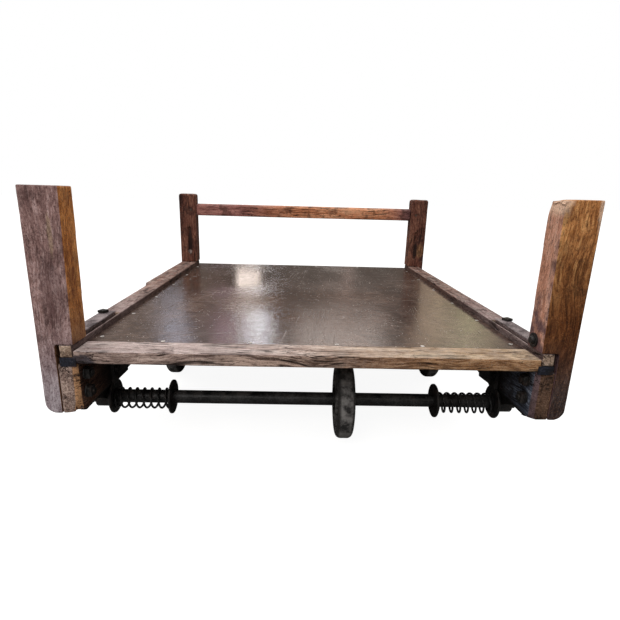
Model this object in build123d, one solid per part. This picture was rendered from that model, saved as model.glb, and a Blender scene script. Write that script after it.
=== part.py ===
"""Platform truck of timber and steel: four corner posts, a sheet-covered deck, and wheels in a diamond.

The two middle wheels turn on a fixed axle and stand a little lower than the single wheel at each
end, so the truck rocks and turns on them. Each end wheel also floats along a long rod, between two
washers that lean on coil springs.

Frame: millimetres, +Z up, +X to the right of a person who faces the truck's front, front towards -Y.
The origin is on the floor, at the middle of the truck.
"""
import os
from math import cos, pi, sin

from build123d import *

# Overall size
overall_width = 1067.0
overall_length = 1219.0
half_width = overall_width / 2
half_length = overall_length / 2

# Corner posts: the upper part is the full section, the lower part is lapped to its outer share
post_width = 70.0
post_depth = 64.0
post_bottom_z = 147.0
front_post_height = 446.0
rear_post_height = 434.0
post_shoulder_height = 146.0
post_lap_width = 33.5
front_post_flare = 7.5
front_post_flare_at_foot = 2.5
front_post_thinning = 9.0
post_arris_radius = 1.5
post_foot_radius = 24.0
front_post_top_radius = 2.0
rear_post_top_radius = 9.0

# Timber frame under the deck
sill_width = 40.0
sill_height = 107.0
sill_end_chamfer = 12.0
front_rail_thickness = 27.0
rail_width = 70.0
rail_tongue_thickness = 13.0
cap_width = 50.0
rail_end_gap = 7.0
cap_lap_thickness = 26.0
cap_step_width = 14.0
cap_step_at = 655.0
cap_step_run = 45.0
bearer_width = 70.0
bearer_height = 45.0
bearer_setbacks = (185.0, 450.0)
bearer_tenon_length = 20.0
bearer_tenon_width = 25.0
bearer_tenon_height = 25.0
plank_count = 5
plank_gap = 1.5
sheet_thickness = 2.0
sheet_lip_height = 20.0
fit_gap = 0.3

# Slots beside the front posts, in both cap rails
slot_width = 12.0
slot_lip = 5.0
slot_start = 66.0
slot_end = 267.0

# Rear top rail and the stopped grooves in the rear posts
top_rail_thickness = 36.0
top_rail_bottom = 343.0
top_rail_top = 394.0
top_rail_chamfer = 10.0
tenon_length = 40.0
tenon_thickness = 20.0
tenon_height = 34.0
peg_radius = 4.5
groove_width = 14.0
groove_depth = 7.0
groove_low = 180.0
groove_high = 296.0
groove_inset = 28.0

# Axles and wheels
axle_radius = 15.875
axle_half_length = 517.0
end_axle_setback = 178.0
wheel_radius = 93.5
wheel_tread_width = 40.0
wheel_edge_radius = 12.0
wheel_rim_depth = 15.0
wheel_web_thickness = 12.0
wheel_hub_radius = 36.0
wheel_hub_half = 22.0
wheel_hole_count = 5
wheel_hole_radius = 13.0
bush_radius = 22.0
bush_flange_radius = 27.0
bush_flange_thickness = 3.0
running_clearance = 0.05
rocker_drop = 12.0
middle_wheel_x = 425.0
front_wheel_x = 91.0
rear_wheel_x = -60.0

# Sprung washers on the end axles
washer_radius = 41.0
washer_thickness = 6.0
washer_hole_radius = 16.2
outer_washer_x = 463.3
inner_washer_x = 325.0
front_right_washer_x = 316.0
spring_mean_radius = 23.5
spring_wire_radius = 2.5
spring_turns = 6.5
spring_sag = 5.0

# Iron hangers, knees, straps and collars
hanger_thickness = 26.0
hanger_outer_x = 494.0
hanger_foot_thickness = 8.0
hanger_foot_length = 285.0
hanger_web_thickness = 12.0
hanger_boss_radius = 25.0
hanger_boss_width = 36.7
middle_hanger_foot_length = 210.0
knee_leg_length = 36.0
front_left_knee_leg_length = 28.0
knee_screw_inset = 12.0
knee_leg_thickness = 7.0
knee_width = 60.0
knee_web_thickness = 9.0
collar_radius = 27.0
collar_width = 20.0
strap_thickness = 3.0
strap_recess = 2.5
strap_nut_thickness = 6.0
corner_iron_height = 18.0
corner_iron_thickness = 2.5

# Fasteners
bolt_radius = 6.0
bolt_head_radius = 13.0
bolt_head_recess = 5.0
nut_across = 20.0
nut_thickness = 9.0
lag_radius = 4.0
lag_head_radius = 8.5
lag_head_height = 6.0
lag_length = 42.0
screw_radius = 2.0
screw_head_radius = 4.5
screw_head_height = 1.6
screw_length = 18.0
cotter_radius = 2.5
cotter_length = 48.0

# Heights and faces that follow from the above
sill_top_z = post_bottom_z + sill_height
front_rail_top_z = sill_top_z + front_rail_thickness
cap_top_z = post_bottom_z + post_shoulder_height
cap_lap_z = cap_top_z - cap_lap_thickness
cap_bottom_z = sill_top_z
sheet_top_z = post_bottom_z + 131.0
plank_top_z = sheet_top_z - sheet_thickness
bearer_bottom_z = sill_top_z - bearer_height
post_inner_x = half_width - post_width
lap_x = half_width - post_lap_width
sill_inner_x = lap_x - sill_width
cap_inner_x = lap_x - 33.0
rail_end_x = lap_x - rail_end_gap
cap_outer_x = cap_inner_x + cap_width
middle_axle_z = wheel_radius
end_axle_z = wheel_radius + rocker_drop
end_axle_y = half_length - end_axle_setback
hanger_inner_x = outer_washer_x + washer_thickness / 2
bearer_ys = [side * (half_length - setback) for side in (-1, 1) for setback in bearer_setbacks]


def block(x, y, z):
    """A box between the low and high values along each axis."""
    size = [high - low for low, high in (x, y, z)]
    middle = [(high + low) / 2 for low, high in (x, y, z)]
    return Pos(*middle) * Box(*size)


def rod_x(x, y, z, radius):
    """A cylinder along X between the two x values."""
    return Pos((x[0] + x[1]) / 2, y, z) * Rot(0, 90, 0) * Cylinder(radius, x[1] - x[0])


def rod_y(x, y, z, radius):
    """A cylinder along Y between the two y values."""
    return Pos(x, (y[0] + y[1]) / 2, z) * Rot(90, 0, 0) * Cylinder(radius, y[1] - y[0])


def rod_z(x, y, z, radius):
    """A cylinder along Z between the two z values."""
    return Pos(x, y, (z[0] + z[1]) / 2) * Cylinder(radius, z[1] - z[0])


def outline_yz(points, x):
    """A closed outline in the YZ plane, extruded between the two x values."""
    face = make_face(Polyline([(x[0], y, z) for y, z in points], close=True))
    return extrude(face, x[1] - x[0], dir=(1, 0, 0))


def outline_xz(points, y):
    """A closed outline in the XZ plane, extruded between the two y values."""
    face = make_face(Polyline([(x, y[0], z) for x, z in points], close=True))
    return extrude(face, y[1] - y[0], dir=(0, 1, 0))


def to_left(part):
    return mirror(part, about=Plane.YZ)


def to_rear(part):
    return mirror(part, about=Plane.XZ)


def at_corner(part, side, end):
    """Move a piece made for the right front corner to the side (-1 left) and end (1 rear) wanted."""
    if side < 0:
        part = to_left(part)
    if end > 0:
        part = to_rear(part)
    return part


def cut_all(part, tools):
    for tool in tools:
        part = part - tool
    return part


# --- Fasteners, made for the right front corner -------------------------------------------------

def square_nut_x(x, y, z):
    return block((x, x + nut_thickness), (y - nut_across / 2, y + nut_across / 2),
                 (z - nut_across / 2, z + nut_across / 2))


def sill_bolt_places():
    y = -half_length + post_depth / 2
    return [(y, post_bottom_z + height) for height in (38.0, 78.0)]


def sill_bolt_solids():
    """Carriage bolts through the lapped post and the sill, with a washer and nut inside."""
    solids = []
    for y, z in sill_bolt_places():
        head_x = half_width - bolt_head_recess
        washer_x = sill_inner_x - 3.0
        nut_x = washer_x - nut_thickness
        bolt = rod_x((nut_x - 4.0, head_x), y, z, bolt_radius)
        bolt += rod_x((head_x, half_width - 1.0), y, z, bolt_head_radius - 1.0)
        hole = rod_x((nut_x - 1.0, sill_inner_x), y, z, bolt_radius)
        solids += [bolt, rod_x((washer_x, sill_inner_x), y, z, 14.0) - hole,
                   square_nut_x(nut_x, y, z) - hole]
    return solids


def sill_bolt_cuts():
    cuts = []
    for y, z in sill_bolt_places():
        cuts += [rod_x((sill_inner_x - 1.0, half_width + 1.0), y, z, bolt_radius),
                 rod_x((half_width - bolt_head_recess, half_width + 1.0), y, z, bolt_head_radius)]
    return cuts


def post_bolt_place():
    return -half_length + 36.0, cap_top_z + 19.0


def post_bolt_solid():
    """Bolt through the right front post, with a big round washer and a domed head on the inner face."""
    y, z = post_bolt_place()
    face_x = front_post_inner_x(z) - fit_gap
    washer_x = face_x - 3.0
    bolt = rod_x((face_x, half_width - 1.0), y, z, bolt_radius)
    bolt += rod_x((washer_x, face_x), y, z, 15.0)
    dome = Pos(washer_x, y, z) * Sphere(9.0)
    bolt += dome & block((washer_x - 6.0, washer_x), (y - 10, y + 10), (z - 10, z + 10))
    return bolt + rod_x((half_width - 4.0, half_width - 1.0), y, z, 10.0)


def post_bolt_cuts():
    y, z = post_bolt_place()
    return [rod_x((post_inner_x - 10.0, half_width + 1.0), y, z, bolt_radius),
            rod_x((half_width - 4.0, half_width + 1.0), y, z, 11.0)]


def strap_bolt_place():
    return cap_outer_x - 8.0, -half_length + 257.0


def strap_bolt_solids():
    """Bolt through a cap strap: a domed head below the cap rail and a square nut on the strap."""
    x, y = strap_bolt_place()
    strap_top_z = cap_top_z + strap_thickness - strap_recess
    bolt = rod_z(x, y, (cap_bottom_z, strap_top_z + strap_nut_thickness + 0.5), 5.0)
    bolt += rod_z(x, y, (cap_bottom_z - 4.0, cap_bottom_z), 8.5)
    nut_place = Pos(x, y, strap_top_z + strap_nut_thickness / 2) * Rot(0, 0, 20)
    nut = nut_place * Box(18.0, 18.0, strap_nut_thickness)
    return [bolt, nut - rod_z(x, y, (strap_top_z - 1.0, strap_top_z + 10.0), 5.0)]


def lag_screw_up(x, y, z):
    """Lag screw driven upwards, with its hexagon head below height z."""
    head = extrude(Pos(x, y, z) * RegularPolygon(lag_head_radius, 6), -lag_head_height)
    return head + rod_z(x, y, (z, z + lag_length), lag_radius)


def lag_screw_out(x, y, z):
    """Lag screw driven towards +X, with its hexagon head inside of x."""
    head = extrude(Plane(origin=(x, y, z), z_dir=(-1, 0, 0)) * RegularPolygon(lag_head_radius, 6),
                   lag_head_height)
    return head + rod_x((x, x + lag_length - 12.0), y, z, lag_radius)


def hanger_screw_places(setback, foot_length):
    reach = foot_length / 2 - 18.0
    x = hanger_outer_x - hanger_thickness / 2
    return [(x, -half_length + setback + shift) for shift in (-reach, reach)]


def hanger_screws(setback, foot_length):
    z = post_bottom_z - hanger_foot_thickness
    return [lag_screw_up(x, y, z) for x, y in hanger_screw_places(setback, foot_length)]


def hanger_screw_cuts(setback, foot_length):
    z = (post_bottom_z - hanger_foot_thickness - 1.0, post_bottom_z + lag_length)
    return [rod_z(x, y, z, lag_radius) for x, y in hanger_screw_places(setback, foot_length)]


def knee_reach(side, end):
    """The length of a knee's leg under the bearer, which is shorter at the left front."""
    return front_left_knee_leg_length if side < 0 and end < 0 else knee_leg_length


def knee_screw_shifts():
    return (-knee_width / 2 + 12.0, knee_width / 2 - 12.0)


def knee_screws(reach):
    """Lag screws of a knee: two up into the bearer and two out into the sill."""
    screws = []
    for shift in knee_screw_shifts():
        y = bearer_ys[0] + shift
        up_x = sill_inner_x - reach + knee_screw_inset
        screws.append(lag_screw_up(up_x, y, bearer_bottom_z - knee_leg_thickness))
        screws.append(lag_screw_out(sill_inner_x - knee_leg_thickness, y, bearer_bottom_z - 28.0))
    return screws


def knee_cuts(reach):
    cuts = []
    for shift in knee_screw_shifts():
        y = bearer_ys[0] + shift
        up_x = sill_inner_x - reach + knee_screw_inset
        low_z = bearer_bottom_z - knee_leg_thickness - 1.0
        cuts.append(rod_z(up_x, y, (low_z, bearer_bottom_z + lag_length), lag_radius))
        out_x = (sill_inner_x - knee_leg_thickness - 1.0, sill_inner_x + lag_length)
        cuts.append(rod_x(out_x, y, bearer_bottom_z - 28.0, lag_radius))
    return cuts


def deck_screw_places():
    """Screws along both sides and both ends of the deck sheet, and over the middle bearers."""
    edge_x = cap_inner_x - 14.0
    side_ys = [-half_length + 110.0 + step * 200.0 for step in range(6)]
    end_xs = [(step - 2) * 186.8 + 60.0 for step in range(4)]
    places = [(side * edge_x, y) for side in (-1, 1) for y in side_ys]
    places += [(x, -half_length + rail_width + 14.0) for x in end_xs]
    places += [(x, half_length - 30.0) for x in end_xs]
    return places


def deck_screw_head(x, y):
    """A countersunk head flush with the sheet, which is also the shape of its seat."""
    return Pos(x, y, sheet_top_z) * Cone(screw_radius, screw_head_radius, screw_head_height,
                                         align=(Align.CENTER, Align.CENTER, Align.MAX))


def deck_screws():
    return [rod_z(x, y, (sheet_top_z - screw_length, sheet_top_z), screw_radius) + deck_screw_head(x, y)
            for x, y in deck_screw_places()]


def deck_screw_cuts():
    return [rod_z(x, y, (sheet_top_z - screw_length, sheet_top_z + 1.0), screw_radius) + deck_screw_head(x, y)
            for x, y in deck_screw_places()]


# --- Timber ------------------------------------------------------------------------------------

def top_rail_tenon(side):
    """The tenon at one end of the rear top rail, which is also the shape of its mortise."""
    middle_z = post_bottom_z + (top_rail_bottom + top_rail_top) / 2
    middle_y = half_length - post_depth / 2
    x = sorted((side * post_inner_x, side * (post_inner_x + tenon_length)))
    return block(x, (middle_y - tenon_thickness / 2, middle_y + tenon_thickness / 2),
                 (middle_z - tenon_height / 2, middle_z + tenon_height / 2))


def top_rail_peg(side):
    middle_z = post_bottom_z + (top_rail_bottom + top_rail_top) / 2
    x = side * (post_inner_x + 0.5 * tenon_length)
    return rod_y(x, (half_length - post_depth, half_length), middle_z, peg_radius)


def rear_groove(side):
    """The stopped upright groove in the front face of a rear post."""
    x = side * (post_inner_x + groove_inset)
    low_z = post_bottom_z + groove_low
    high_z = post_bottom_z + groove_high
    y = half_length - post_depth
    radius = groove_width / 2
    groove = block((x - radius, x + radius), (y - 1.0, y + groove_depth), (low_z + radius, high_z - radius))
    for z in (low_z + radius, high_z - radius):
        groove += rod_y(x, (y - 1.0, y + groove_depth), z, radius)
    return groove


def front_post_inner_x(z):
    """The inner face of a front post, which leans towards the middle as it rises."""
    return post_inner_x + front_post_flare_at_foot - front_post_flare * (z - post_bottom_z) / front_post_height


def rear_post_blank():
    return block((post_inner_x, half_width), (-half_length, -half_length + post_depth),
                 (post_bottom_z, post_bottom_z + rear_post_height))


def front_post_blank():
    """A front post grows wider and thinner towards its top."""
    top_z = post_bottom_z + front_post_height
    front_y = -half_length
    seen_from_front = [(front_post_inner_x(post_bottom_z), post_bottom_z), (half_width, post_bottom_z),
                       (half_width, top_z), (front_post_inner_x(top_z), top_z)]
    seen_from_side = [(front_y, post_bottom_z), (front_y + post_depth, post_bottom_z),
                      (front_y + post_depth - front_post_thinning, top_z), (front_y, top_z)]
    return (outline_xz(seen_from_front, (front_y, front_y + post_depth))
            & outline_yz(seen_from_side, (post_inner_x - 10.0, half_width)))


def post(side, end):
    """A corner post: full section above its shoulder, lapped over the sill's end below it."""
    body = rear_post_blank() if end > 0 else front_post_blank()
    top_radius = rear_post_top_radius if end > 0 else front_post_top_radius
    foot_edge = body.edges().filter_by(Axis.Y).group_by(Axis.Z)[0].sort_by(Axis.X)[-1]
    body = fillet(foot_edge, post_foot_radius)
    body = fillet(body.faces().sort_by(Axis.Z)[-1].edges(), top_radius)
    uprights = [edge for edge in body.edges() if edge.bounding_box().size.Z > rear_post_height / 2]
    body = fillet(uprights, post_arris_radius)
    body -= block((post_inner_x - 10.0, lap_x), (-half_length - 1.0, -half_length + post_depth + 1.0),
                  (post_bottom_z - 1.0, cap_top_z))
    body = cut_all(body, sill_bolt_cuts())
    if side > 0 and end < 0:
        body = cut_all(body, post_bolt_cuts())
    body = at_corner(body, side, end)
    if end > 0:
        body = cut_all(body, [top_rail_tenon(side), top_rail_peg(side), rear_groove(side)])
    return body


def bearer_tenon(side, y):
    x = sorted((side * sill_inner_x, side * (sill_inner_x + bearer_tenon_length)))
    middle_z = (bearer_bottom_z + sill_top_z) / 2
    return block(x, (y - bearer_tenon_width / 2, y + bearer_tenon_width / 2),
                 (middle_z - bearer_tenon_height / 2, middle_z + bearer_tenon_height / 2))


def corner_iron_box(side, depth):
    """The space of the thin iron on the front of a rail's lapped end."""
    x = sorted((side * (cap_inner_x - 5.0), side * rail_end_x))
    z = (cap_lap_z - corner_iron_height, cap_lap_z)
    return block(x, (-half_length, -half_length + depth), z)


def sill(side):
    """A side sill on edge, with its end grain showing under each rail."""
    body = block((sill_inner_x, lap_x), (-half_length, half_length), (post_bottom_z, sill_top_z))
    ends = body.edges().filter_by(Axis.Z).group_by(Axis.X)[0]
    body = chamfer(ends, sill_end_chamfer)
    for end in (-1, 1):
        cuts = sill_bolt_cuts() + knee_cuts(knee_reach(side, end))
        cuts += hanger_screw_cuts(end_axle_setback, hanger_foot_length)
        body = cut_all(body, [at_corner(cut, 1, end) for cut in cuts])
    body = cut_all(body, hanger_screw_cuts(half_length, middle_hanger_foot_length))
    body = body if side > 0 else to_left(body)
    body = cut_all(body, [bearer_tenon(side, y) for y in bearer_ys])
    return body - corner_iron_box(side, corner_iron_thickness)


def front_rail():
    """The board across the front, half-lapped under the ends of the cap rails."""
    low_y = -half_length
    body = block((-cap_inner_x, cap_inner_x), (low_y, low_y + rail_width), (sill_top_z, front_rail_top_z))
    body = fillet(body.edges().filter_by(Axis.X).group_by(Axis.Y)[0], 3.5)
    for side in (-1, 1):
        x = sorted((side * cap_inner_x, side * rail_end_x))
        body += block(x, (low_y, low_y + post_depth), (sill_top_z, sill_top_z + rail_tongue_thickness))
        body -= corner_iron_box(side, corner_iron_thickness)
    return body


def rear_rail():
    """The board across the rear, under the deck sheet, half-lapped like the front rail."""
    high_y = half_length - sheet_thickness - fit_gap
    low_y = high_y - rail_width
    body = block((-cap_inner_x, cap_inner_x), (low_y, high_y), (sill_top_z, plank_top_z))
    for side in (-1, 1):
        x = sorted((side * cap_inner_x, side * rail_end_x))
        body += block(x, (half_length - post_depth, high_y),
                      (sill_top_z, sill_top_z + rail_tongue_thickness))
    return cut_all(body, deck_screw_cuts())


def cap_slot(y_end, z):
    """The stopped slot that runs back from beside the front post."""
    low_x = cap_inner_x + slot_lip
    radius = slot_width / 2
    slot = block((low_x, low_x + slot_width), (-half_length + slot_start, -half_length + y_end - radius), z)
    return slot + rod_z(low_x + radius, -half_length + y_end - radius, z, radius)


def cap_strap_box(z):
    low_x = cap_inner_x + slot_lip + slot_width + 1.0
    return block((low_x, cap_outer_x), (-half_length + slot_start, -half_length + 275.0), z)


def cap_rail(side):
    """A side rail on top of the sill, with its ends lapped over the cross rails in the post notches."""
    step = cap_step_width if side < 0 else 0.0
    front_y = -half_length + post_depth
    rear_y = half_length - post_depth
    points = [(cap_inner_x, -half_length), (rail_end_x, -half_length), (rail_end_x, front_y),
              (cap_outer_x, front_y)]
    if step:
        points.append((cap_outer_x, -half_length + cap_step_at - cap_step_run))
        points.append((cap_outer_x + step, -half_length + cap_step_at))
    points += [(cap_outer_x + step, rear_y), (rail_end_x, rear_y), (rail_end_x, half_length),
               (cap_inner_x, half_length)]
    face = make_face(Polyline([(x, y, cap_bottom_z) for x, y in points], close=True))
    body = extrude(face, cap_top_z - cap_bottom_z, dir=(0, 0, 1))
    top_long = [edge for edge in body.edges().filter_by(Axis.Y).group_by(Axis.Z)[-1] if edge.length > 500]
    body = fillet(top_long, 2.5)
    lap_x_range = (cap_inner_x - 1.0, rail_end_x + 1.0)
    lap_z_range = (cap_bottom_z - 1.0, cap_lap_z)
    body -= block(lap_x_range, (-half_length - 1.0, front_y), lap_z_range)
    body -= block(lap_x_range, (rear_y, half_length + 1.0), lap_z_range)
    body -= cap_slot(slot_end, (cap_bottom_z - 1.0, cap_top_z + 1.0))
    body -= cap_strap_box((cap_top_z - strap_recess, cap_top_z + 1.0))
    x, y = strap_bolt_place()
    body -= rod_z(x, y, (cap_bottom_z - 1.0, cap_top_z + 1.0), 5.0)
    return body if side > 0 else to_left(body)


def cross_bearer(y):
    """A bearer between the sills, tenoned into both."""
    body = block((-sill_inner_x, sill_inner_x), (y - bearer_width / 2, y + bearer_width / 2),
                 (bearer_bottom_z, sill_top_z))
    for side in (-1, 1):
        body += bearer_tenon(side, y)
        body = cut_all(body, [at_corner(cut, side, y) for cut in knee_cuts(knee_reach(side, y))])
    return body


def deck_planks():
    """The planks under the sheet, side by side, each running from the front rail to the rear rail."""
    pitch = 2 * cap_inner_x / plank_count
    planks = []
    for number in range(plank_count):
        low_x = -cap_inner_x + number * pitch + plank_gap / 2
        plank = block((low_x, low_x + pitch - plank_gap),
                      (-half_length + rail_width + fit_gap,
                       half_length - sheet_thickness - 2 * fit_gap - rail_width),
                      (sill_top_z, plank_top_z))
        planks.append(cut_all(plank, deck_screw_cuts()))
    return planks


def rear_top_rail():
    """The rail that joins the rear posts, with its upper arrises chamfered."""
    middle_y = half_length - post_depth / 2
    y = (middle_y - top_rail_thickness / 2, middle_y + top_rail_thickness / 2)
    z = (post_bottom_z + top_rail_bottom, post_bottom_z + top_rail_top)
    body = block((-post_inner_x, post_inner_x), y, z)
    body = chamfer(body.edges().filter_by(Axis.X).group_by(Axis.Z)[-1], top_rail_chamfer)
    body = fillet(body.edges().filter_by(Axis.X).group_by(Axis.Z)[0], 3.0)
    for side in (-1, 1):
        body += top_rail_tenon(side)
        body -= top_rail_peg(side)
    return body


# --- Sheet and iron ----------------------------------------------------------------------------

def deck_sheet():
    """The steel sheet over the planks, with a short lip turned down at the rear."""
    x = (-cap_inner_x + fit_gap, cap_inner_x - fit_gap)
    body = block(x, (-half_length + rail_width + fit_gap, half_length), (plank_top_z, sheet_top_z))
    lip_z = (sheet_top_z - sheet_lip_height, sheet_top_z)
    body += block(x, (half_length - sheet_thickness, half_length), lip_z)
    return cut_all(body, deck_screw_cuts())


def cap_strap():
    """Flat iron let into the top of a cap rail beside the slot."""
    top_z = cap_top_z + strap_thickness - strap_recess
    body = cap_strap_box((cap_top_z - strap_recess, top_z))
    x, y = strap_bolt_place()
    body -= rod_z(x, y, (cap_bottom_z, top_z + 1.0), 5.0)
    return body - rod_z(x - 10.0, -half_length + 92.0, (cap_bottom_z, top_z + 1.0), 4.0)


def knee(reach):
    """Iron knee under the first bearer: two legs and a tapered web, in the corner by the sill."""
    y = bearer_ys[0]
    inner_x = sill_inner_x - reach
    legs = block((inner_x, sill_inner_x), (y - knee_width / 2, y + knee_width / 2),
                 (bearer_bottom_z - knee_leg_thickness, bearer_bottom_z))
    legs += block((sill_inner_x - knee_leg_thickness, sill_inner_x),
                  (y - knee_width / 2, y + knee_width / 2), (post_bottom_z + 2.0, bearer_bottom_z))
    outline = [(inner_x, bearer_bottom_z), (inner_x + 1.0, post_bottom_z + 22.0),
               (sill_inner_x - 7.0, post_bottom_z + 2.0), (sill_inner_x, post_bottom_z + 2.0),
               (sill_inner_x, bearer_bottom_z)]
    web = outline_xz(outline, (y - knee_web_thickness / 2, y + knee_web_thickness / 2))
    return cut_all(legs + web, knee_cuts(reach))


def hanger(setback, axle_z, foot_length):
    """Cast hanger under a sill: a long foot, a web that curves down, and a boss that grips the axle."""
    y = -half_length + setback
    foot_x = (hanger_outer_x - hanger_thickness, hanger_outer_x)
    foot_bottom = post_bottom_z - hanger_foot_thickness
    body = block(foot_x, (y - foot_length / 2, y + foot_length / 2), (foot_bottom, post_bottom_z))
    reach = foot_length / 2 - 36.0
    drop = foot_bottom - axle_z
    curve = []
    for step in range(9):
        share = step / 8
        curve.append((reach - share * (reach - hanger_boss_radius * 0.8), foot_bottom - drop * share ** 1.6))
    right_side = [(y + across, z) for across, z in curve]
    left_side = [(y - across, z) for across, z in reversed(curve)]
    web_x = [sum(foot_x) / 2 + side * hanger_web_thickness / 2 for side in (-1, 1)]
    body += outline_yz([(y - reach, post_bottom_z - 1.0), (y + reach, post_bottom_z - 1.0)]
                       + right_side + left_side, web_x)
    body += rod_x((hanger_inner_x, hanger_inner_x + hanger_boss_width), y, axle_z, hanger_boss_radius)
    body -= rod_x((0.0, half_width), y, axle_z, axle_radius)
    return cut_all(body, hanger_screw_cuts(setback, foot_length))


def corner_iron(side):
    return corner_iron_box(side, corner_iron_thickness)


# --- Running gear ------------------------------------------------------------------------------

def axle(y, z):
    """A round bar across the truck, with chamfered ends and a hole for a cotter at each end."""
    body = rod_x((-axle_half_length, axle_half_length), y, z, axle_radius)
    body = chamfer(body.edges().filter_by(GeomType.CIRCLE), 2.0)
    for side in (-1, 1):
        body -= rod_z(side * (axle_half_length - 7.0), y, (z - axle_radius - 1.0, z + axle_radius + 1.0),
                      cotter_radius)
    return body


def cotter(side, y, z):
    """A split cotter: a round pin with an eye on top and a bent leg below."""
    x = side * (axle_half_length - 7.0)
    low_z = z - cotter_length / 2
    high_z = z + cotter_length / 2
    pin = rod_z(x, y, (low_z, high_z), cotter_radius)
    eye = Pos(x, y, high_z + 3.0) * Rot(0, 90, 0) * Torus(4.5, 2.0)
    leg = rod_y(x, (y, y + 12.0), low_z + cotter_radius, cotter_radius)
    return pin + eye + leg


def ring_x(x, y, z, outer_radius, inner_radius):
    bore = rod_x((x[0] - 1.0, x[1] + 1.0), y, z, inner_radius)
    return rod_x(x, y, z, outer_radius) - bore


def wheel(x, y, z, bore_radius):
    """Cast iron wheel with a rounded tread, a plate web with round holes, and a plain hub."""
    half_tread = wheel_tread_width / 2
    rim_radius = wheel_radius - wheel_rim_depth
    tread = rod_x((x - half_tread, x + half_tread), y, z, wheel_radius)
    tread = fillet(tread.edges().filter_by(GeomType.CIRCLE), wheel_edge_radius)
    hollow = rod_x((x - half_tread - 1.0, x + half_tread + 1.0), y, z, rim_radius)
    half_web = wheel_web_thickness / 2
    body = tread - hollow + rod_x((x - half_web, x + half_web), y, z, rim_radius + 1.0)
    body += rod_x((x - wheel_hub_half, x + wheel_hub_half), y, z, wheel_hub_radius)
    hole_circle = (rim_radius + wheel_hub_radius) / 2
    for number in range(wheel_hole_count):
        angle = 2 * pi * number / wheel_hole_count
        body -= rod_x((x - half_web - 1.0, x + half_web + 1.0), y + hole_circle * sin(angle),
                      z + hole_circle * cos(angle), wheel_hole_radius)
    return body - rod_x((x - 60.0, x + 60.0), y, z, bore_radius)


def sliding_bush(x, y, z):
    """Flanged iron sleeve that carries an end wheel and slides along the rod with it."""
    half = wheel_hub_half + fit_gap
    flange_end = half + bush_flange_thickness
    body = rod_x((x - flange_end, x + flange_end), y, z, bush_radius)
    for side in (-1, 1):
        flange_x = sorted((x + side * half, x + side * flange_end))
        body += rod_x(flange_x, y, z, bush_flange_radius)
    return body - rod_x((x - 60.0, x + 60.0), y, z, axle_radius + running_clearance)


def spring(side, washer_x, y, z):
    """Round-wire compression spring that hangs on the rod, between the sliding washer and the fixed one."""
    start_x = washer_x + washer_thickness / 2 + fit_gap + spring_wire_radius
    end_x = outer_washer_x - washer_thickness / 2 - spring_wire_radius
    length = end_x - start_x
    path = Helix(length / spring_turns, length, spring_mean_radius,
                 center=(start_x, y, z - spring_sag), direction=(1, 0, 0))
    section = Plane(origin=path @ 0, z_dir=path % 0) * Circle(spring_wire_radius)
    coil = sweep(section, path=path, is_frenet=True)
    return coil if side > 0 else to_left(coil)


def washer(side, x, y, z):
    low_x = x - washer_thickness / 2
    body = ring_x((low_x, low_x + washer_thickness), y, z, washer_radius, washer_hole_radius)
    body = fillet(body.edges().filter_by(GeomType.CIRCLE).sort_by(lambda edge: edge.radius)[-2:], 2.0)
    return body if side > 0 else to_left(body)


def middle_collar(side):
    """Set collar on the middle axle that keeps a wheel against its hanger."""
    low_x = middle_wheel_x - wheel_hub_half - fit_gap - collar_width
    body = ring_x((low_x, low_x + collar_width), 0.0, middle_axle_z, collar_radius, axle_radius)
    body += rod_z(low_x + collar_width / 2, 0.0,
                  (middle_axle_z + axle_radius + 2.0, middle_axle_z + collar_radius + 7.0), 5.0)
    return body if side > 0 else to_left(body)


def thrust_washer(side):
    low_x = middle_wheel_x + wheel_hub_half + fit_gap
    high_x = hanger_inner_x - fit_gap
    body = ring_x((low_x, high_x), 0.0, middle_axle_z, collar_radius, axle_radius)
    return body if side > 0 else to_left(body)


# --- Assembly ----------------------------------------------------------------------------------

def timber_nodes():
    nodes = {}
    for end_name, end in (("front", -1), ("rear", 1)):
        for side_name, side in (("left", -1), ("right", 1)):
            nodes[f"{end_name}_{side_name}_post"] = post(side, end)
    for side_name, side in (("left", -1), ("right", 1)):
        nodes[f"{side_name}_sill"] = sill(side)
        nodes[f"{side_name}_cap_rail"] = cap_rail(side)
    nodes["front_rail"] = front_rail()
    nodes["rear_rail"] = rear_rail()
    nodes["rear_top_rail"] = rear_top_rail()
    nodes["top_rail_pegs"] = [top_rail_peg(side) for side in (-1, 1)]
    for number, y in enumerate(sorted(bearer_ys), start=1):
        nodes[f"cross_bearer_{number}"] = cross_bearer(y)
    for number, plank in enumerate(deck_planks(), start=1):
        nodes[f"deck_plank_{number}"] = plank
    return nodes


def iron_nodes():
    nodes = {"deck_sheet": deck_sheet(),
             "front_corner_irons": [corner_iron(side) for side in (-1, 1)]}
    for side_name, side in (("left", -1), ("right", 1)):
        nodes[f"{side_name}_cap_strap"] = at_corner(cap_strap(), side, -1)
        nodes[f"middle_{side_name}_hanger"] = at_corner(
            hanger(half_length, middle_axle_z, middle_hanger_foot_length), side, -1)
        for end_name, end in (("front", -1), ("rear", 1)):
            nodes[f"{end_name}_{side_name}_hanger"] = at_corner(
                hanger(end_axle_setback, end_axle_z, hanger_foot_length), side, end)
    for end_name, end in (("front", -1), ("rear", 1)):
        nodes[f"{end_name}_knees"] = [at_corner(knee(knee_reach(side, end)), side, end) for side in (-1, 1)]
    return nodes


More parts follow.
